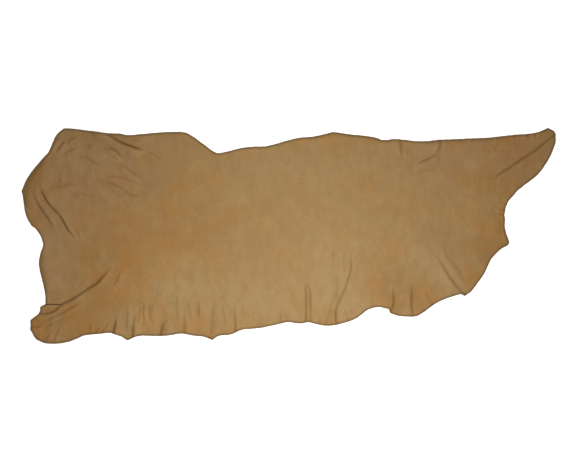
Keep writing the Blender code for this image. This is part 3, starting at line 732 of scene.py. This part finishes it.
def lattice(rim, tree, folds):
    """Points inside the rim: close together along steep flanks and the rim, sparser elsewhere."""
    low, high = rim.min(0), rim.max(0)
    columns = np.arange(low[0], high[0], FINE_STEP)
    rows = np.arange(low[1], high[1], FINE_STEP)
    (x0, y0), (x1, y1) = rim.T, np.roll(rim, -1, axis=0).T
    cells = []
    for j, y in enumerate(rows):
        cut = np.flatnonzero((y0 > y) != (y1 > y))
        crossings = x0[cut] + (y - y0[cut]) * (x1[cut] - x0[cut]) / (y1[cut] - y0[cut])
        inside = np.searchsorted(np.sort(crossings), columns) % 2 == 1
        cells += [(i, j) for i in np.flatnonzero(inside)]
    cells = np.array(cells)
    places = low + cells * FINE_STEP

    to_rim = distances(tree, places)
    to_detail = to_rim.copy()
    for fold, path, _ in folds:
        near, from_crest, fade, width = beside(fold, path, places, fold.gentle + REACHES[-1])
        middle = fold.steep * width / 2
        away = np.abs(from_crest - middle) - middle
        to_detail[near] = np.minimum(to_detail[near], np.where(fade > 0, away, REACHES[-1]))

    keep = (cells % 2 ** len(REACHES) == 0).all(1)
    for level, reach in enumerate(REACHES):
        keep |= (cells % 2**level == 0).all(1) & (to_detail < reach)
    keep &= to_rim > RIM_CLEAR
    dice = np.random.default_rng(SHAKE_SEED)
    shake = dice.uniform(-1, 1, (len(places), 2)) * SHAKE * FINE_STEP
    return (places + shake)[keep]


def sides_of(points, triangles):
    """The two sides of each triangle that leave its first corner."""
    a, b, c = (points[triangles[:, k]] for k in range(3))
    return b - a, c - a


def triangulated(points, count):
    """The corners and triangles, counter-clockwise, of a flat mesh of points. The first so many
    of them are its rim."""
    ring = [(i, (i + 1) % count) for i in range(count)]
    made = delaunay_2d_cdt([tuple(p) for p in points], ring, [], KEEP_INSIDE, JOIN)
    places = np.array([tuple(v) for v in made[0]])
    triangles = np.array([tuple(face) for face in made[2]])
    ab, ac = sides_of(places, triangles)
    clockwise = ab[:, 0] * ac[:, 1] - ab[:, 1] * ac[:, 0] < 0
    triangles[clockwise] = triangles[clockwise][:, ::-1]
    return places, triangles


def upward(places, heights, triangles):
    """The upward part of the unit normal at each point of a sheet."""
    points = np.column_stack([places, heights])
    face = np.cross(*sides_of(points, triangles))
    face *= np.sign(face[:, 2:])
    normals = np.zeros_like(points)
    for k in range(3):
        np.add.at(normals, triangles[:, k], face)
    return normals[:, 2] / np.linalg.norm(normals, axis=1)


def top_area(vertices, triangles):
    """The area of the grain side."""
    return np.linalg.norm(np.cross(*sides_of(vertices, triangles)), axis=1).sum() / 2


def is_rim_edge(pair, count, total):
    """Whether an edge lies along the top or the bottom of the cut rim."""
    a, b = sorted(pair)
    if b >= 2 * total or (a < total) != (b < total):
        return False
    a, b = a % total, b % total
    return a < count and b < count and (b - a) % count in (1, count - 1)


def hide_sheet(materials):
    """The whole sheet as one closed mesh with its grain side, flesh side and cut rim. Its points
    are those of the grain side, those of the flesh side in the same order, and the rim's middle."""
    rim = fine_edge(frame_edge())
    tree = rim_tree(rim)
    main = placed(MAIN_FOLDS, MAIN_SEED)
    fine = placed(FINE_FOLDS, FINE_SEED, FINE_SPREAD)
    count = len(rim)
    places, triangles = triangulated(np.vstack([rim, lattice(rim, tree, main + fine)]), count)
    to_rim = distances(tree, places)
    to_rim[:count] = 0
    low = sheet_height(main, fine, places, to_rim)
    high = low + THICKNESS / upward(places, low, triangles)

    total = len(places)
    mid = np.column_stack([places[:count] + leftwards(rim, True) * RIM_BULGE,
                           (low[:count] + high[:count]) / 2])
    vertices = np.vstack([np.column_stack([places, high]), np.column_stack([places, low]), mid])
    top = [tuple(t) for t in triangles.tolist()]
    under = [(total + c, total + b, total + a) for a, b, c in top]
    sides = []
    for i in range(count):
        j = (i + 1) % count
        for upper, lower in ((0, 2 * total), (2 * total, total)):
            sides.append((upper + i, upper + j, lower + j, lower + i))

    mesh = bpy.data.meshes.new("hide_leather")
    mesh.from_pydata(vertices.tolist(), [], top + under + sides)
    for material in materials:
        mesh.materials.append(material)
    kinds = np.repeat([0, 1, 2], [len(top), len(under), len(sides)])
    mesh.polygons.foreach_set("material_index", kinds.astype(np.int32))
    mesh.polygons.foreach_set("use_smooth", np.ones(len(kinds), bool))
    mesh.update()
    for edge in mesh.edges:
        if is_rim_edge(edge.vertices, count, total):
            edge.use_edge_sharp = True

    stored = {"rim_distance": to_rim, "crease_shade": creases(main + fine, places),
              "unrest": unrest(places), **patches(places)}
    for name, values in stored.items():
        layer = mesh.attributes.new(name, "FLOAT", "POINT")
        values = np.concatenate([values, values, values[:count]])
        layer.data.foreach_set("value", values.astype(np.float32))
    mesh.validate()
    sheet = bpy.data.objects.new("hide_leather", mesh)
    bpy.context.scene.collection.objects.link(sheet)
    print("sheet", len(top), "triangles on top,", len(mesh.polygons), "faces in all, top area",
          round(top_area(vertices, triangles), 4))
    return sheet


class Shader:
    """A material's nodes: each call adds one and returns its first output."""

    def __init__(self, name):
        self.material = bpy.data.materials.new(name)
        self.material.use_nodes = True
        self.nodes = self.material.node_tree.nodes
        self.links = self.material.node_tree.links
        self.surface = self.nodes["Principled BSDF"]
        self.where = self.nodes.new("ShaderNodeTexCoord").outputs["Object"]

    def set(self, socket, value):
        """Puts a number or another node's output into a socket, or leaves it as it is."""
        if isinstance(value, bpy.types.NodeSocket):
            self.links.new(value, socket)
        elif value is not None:
            socket.default_value = value

    def noise(self, size, detail, roughness, squeeze):
        """Cloudy noise with features of about this size in metres."""
        node = self.nodes.new("ShaderNodeTexNoise")
        node.inputs["Scale"].default_value = 1 / size
        node.inputs["Detail"].default_value = detail
        node.inputs["Roughness"].default_value = roughness
        self.links.new(self.squeezed(squeeze), node.inputs["Vector"])
        return node.outputs["Fac"]

    def squeezed(self, squeeze):
        """The place on the object, squeezed by a factor on each axis."""
        if not squeeze:
            return self.where
        node = self.nodes.new("ShaderNodeMapping")
        node.inputs["Scale"].default_value = squeeze
        self.links.new(self.where, node.inputs["Vector"])
        return node.outputs["Vector"]

    def cells(self, size, feature="F1"):
        """Distance within a net of cells of about this size in metres."""
        node = self.nodes.new("ShaderNodeTexVoronoi")
        node.feature = feature
        node.inputs["Scale"].default_value = 1 / size
        self.links.new(self.where, node.inputs["Vector"])
        return node.outputs["Distance"]

    def attribute(self, name):
        """A number stored on the mesh."""
        node = self.nodes.new("ShaderNodeAttribute")
        node.attribute_name = name
        return node.outputs["Fac"]

    def math(self, operation, a, b=None, c=None):
        """One step of arithmetic."""
        node = self.nodes.new("ShaderNodeMath")
        node.operation = operation
        for socket, value in zip(node.inputs, (a, b, c)):
            self.set(socket, value)
        return node.outputs[0]

    def spread(self, value, low, high, to_low, to_high):
        """Maps a range of numbers smoothly to another."""
        node = self.nodes.new("ShaderNodeMapRange")
        node.interpolation_type = "SMOOTHSTEP"
        for socket, number in zip(node.inputs, (value, low, high, to_low, to_high)):
            self.set(socket, number)
        return node.outputs[0]

    def mix(self, share, first, second, blend="MIX"):
        """Two colours mixed."""
        node = self.nodes.new("ShaderNodeMix")
        node.data_type = "RGBA"
        node.blend_type = blend
        self.set(node.inputs[MIX_SHARE], share)
        self.set(node.inputs[MIX_FIRST], first)
        self.set(node.inputs[MIX_SECOND], second)
        return node.outputs[MIX_RESULT]

    def bump(self, height, distance, under=None):
        """A relief of this depth in metres, on top of another one."""
        node = self.nodes.new("ShaderNodeBump")
        node.inputs["Distance"].default_value = distance
        self.links.new(height, node.inputs["Height"])
        if under:
            self.links.new(under, node.inputs["Normal"])
        return node.outputs["Normal"]

    def finish(self, colour, roughness, normal, specular, sheen):
        """Joins everything to the surface."""
        self.set(self.surface.inputs["Base Color"], colour)
        self.set(self.surface.inputs["Roughness"], roughness)
        self.set(self.surface.inputs["Normal"], normal)
        self.surface.inputs["Specular IOR Level"].default_value = specular
        self.surface.inputs["Sheen Weight"].default_value = sheen
        self.surface.inputs["Sheen Roughness"].default_value = SHEEN_ROUGHNESS
        return self.material


def grain_side():
    """Natural tan, cloudy, with warmer and rosier patches, paler patches of painted light and
    darker ones of painted shade, both partly the tan's own tone, and a fine pebbled grain. Painted
    shade darkens the creases, the rim is darker partly by its own burnish and partly by painted
    shade, and a painted shadow lies along the knife's slit. The paler patches add light and take
    warmth away."""
    s = Shader("leather_grain")
    # The pale patches: painted light, partly paler tone
    pale_tone_and_light = s.attribute("pale")
    clouds = s.spread(s.noise(*CLOUDS), *CLOUD_WARMTH)
    warmth = s.math("ADD", s.attribute("warm"), clouds)
    warmth = s.math("MULTIPLY_ADD", pale_tone_and_light, PALE_TONE_AND_LIGHT_WARMTH, warmth)
    colour = s.mix(warmth, TAN, WARM)
    colour = s.mix(s.attribute("rose"), colour, ROSE)
    # Painted light: the pale patches add light here
    colour = s.mix(pale_tone_and_light, colour, PALE_TONE_AND_LIGHT, "ADD")
    # Painted shade of the darker patches, partly their own darker tone
    colour = s.mix(s.attribute("darker_tone_and_shade"), colour, DARKER_TONE_AND_SHADE)
    for noise, share, tint in MOTTLES:
        colour = s.mix(s.spread(s.noise(*noise), *share), colour, tint)
    colour = s.mix(s.spread(s.cells(PORE_SIZE), *PORE_SHARE), colour, PORE_COLOUR)
    # Painted shade in the creases: a darker line along each steep foot
    crease_shade = s.math("MULTIPLY", s.attribute("crease_shade"), CREASE_SHADE_SHARE)
    colour = s.mix(crease_shade, colour, CREASE_SHADE_COLOUR)
    # The rim darker by a ragged margin: partly its own burnish, partly painted shade
    ragged = s.math("MULTIPLY_ADD", s.noise(*RAGGED), RAGGED_DEPTH, s.attribute("rim_distance"))
    colour = s.mix(s.spread(ragged, *RIM_BURNISH_AND_SHADE_SHARE), colour, RIM_BURNISH_AND_SHADE)
    # Painted shadow along the knife's slit
    colour = s.mix(slit(s), colour, SLIT_SHADOW_COLOUR)

    normal = s.bump(s.cells(PEBBLE_SIZE, "SMOOTH_F1"), PEBBLE_DEPTH)
    normal = s.bump(s.noise(*WRINKLES), WRINKLE_DEPTH, normal)
    rumple = s.math("MULTIPLY", s.noise(*RUMPLE), s.attribute("unrest"))
    normal = s.bump(rumple, RUMPLE_DEPTH, normal)
    roughness = s.spread(s.noise(*WEAR), *GRAIN_ROUGHNESS)
    return s.finish(colour, roughness, normal, specular=0.25, sheen=0.0)


def slit(s):
    """The painted shadow along the knife's slit where the shank leaves the thigh, standing in for
    the shade under the overlapping edge there: strong along it and 0 beside it.
    """
    place = s.nodes.new("ShaderNodeSeparateXYZ")
    s.links.new(s.where, place.inputs[0])
    x, y = place.outputs[0], place.outputs[1]
    off = s.math("ABSOLUTE", s.math("SUBTRACT", y, SLIT_Y))
    across = s.spread(off, SLIT_WIDTH / 2, SLIT_WIDTH * SLIT_BLUR, SLIT_SHADOW_SHARE, 0.0)
    along = s.spread(x, SLIT_END - SLIT_FADE, SLIT_END, 1.0, 0.0)
    return s.math("MULTIPLY", across, along)


def flesh_side():
    """The paler, fibrous underside."""
    s = Shader("leather_flesh")
    fibres = s.noise(*FIBRES)
    colour = s.mix(s.spread(s.noise(*STAINS), *STAIN_SHARE), FLESH, FLESH_STAIN)
    colour = s.mix(s.spread(fibres, *FIBRE_SHARE), colour, FLESH_FIBRE)
    normal = s.bump(fibres, FIBRE_DEPTH)
    normal = s.bump(s.noise(*NAP), NAP_DEPTH, normal)
    roughness = s.spread(fibres, *FLESH_ROUGHNESS)
    return s.finish(colour, roughness, normal, specular=0.15, sheen=0.20)


def cut_edge():
    """The knife's cut through the sheet: packed fibres in thin layers."""
    s = Shader("leather_cut")
    layers = s.noise(*LAYERS)
    colour = s.mix(s.spread(layers, *LAYER_SHARE), CUT, CUT_LAYER)
    normal = s.bump(layers, LAYER_DEPTH)
    roughness = s.spread(layers, *CUT_ROUGHNESS)
    return s.finish(colour, roughness, normal, specular=0.20, sheen=0.05)


def floor():
    """A wide pale floor, a hair under the sheet."""
    material = bpy.data.materials.new("pale_floor")
    material.use_nodes = True
    surface = material.node_tree.nodes["Principled BSDF"]
    for socket, value in FLOOR_SURFACE.items():
        surface.inputs[socket].default_value = value
    corners = [(x * FLOOR_REACH, y * FLOOR_REACH, FLOOR_LEVEL)
               for x, y in ((-1, -1), (1, -1), (1, 1), (-1, 1))]
    mesh = bpy.data.meshes.new("floor")
    mesh.from_pydata(corners, [], [(0, 1, 2, 3)])
    mesh.materials.append(material)
    plane = bpy.data.objects.new("floor", mesh)
    bpy.context.scene.collection.objects.link(plane)


def light():
    """One broad lamp over the middle and an even sky."""
    data = bpy.data.lights.new("lamp", "AREA")
    data.shape = "DISK"
    data.size = LAMP_SIZE
    data.energy = LAMP_POWER
    lamp = bpy.data.objects.new("lamp", data)
    lamp.location = LAMP_PLACE
    lamp.visible_camera = False
    bpy.context.scene.collection.objects.link(lamp)
    world = bpy.data.worlds.new("sky")
    world.use_nodes = True
    background = world.node_tree.nodes["Background"]
    background.inputs["Color"].default_value = WHITE
    background.inputs["Strength"].default_value = SKY
    bpy.context.scene.world = world


def camera():
    """Straight down, in the photograph's frame."""
    data = bpy.data.cameras.new("camera")
    data.lens = LENS
    data.sensor_width = SENSOR
    data.clip_end = CLIP_END
    seen = bpy.data.objects.new("camera", data)
    seen.location = (*VIEW_CENTRE, VIEW_WIDTH * LENS / SENSOR)
    bpy.context.scene.collection.objects.link(seen)
    bpy.context.scene.camera = seen


hide = hide_sheet([grain_side(), flesh_side(), cut_edge()])
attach(hide, "root")
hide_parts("hide")
floor()
light()
camera()
bpy.context.scene.view_settings.view_transform = "Standard"
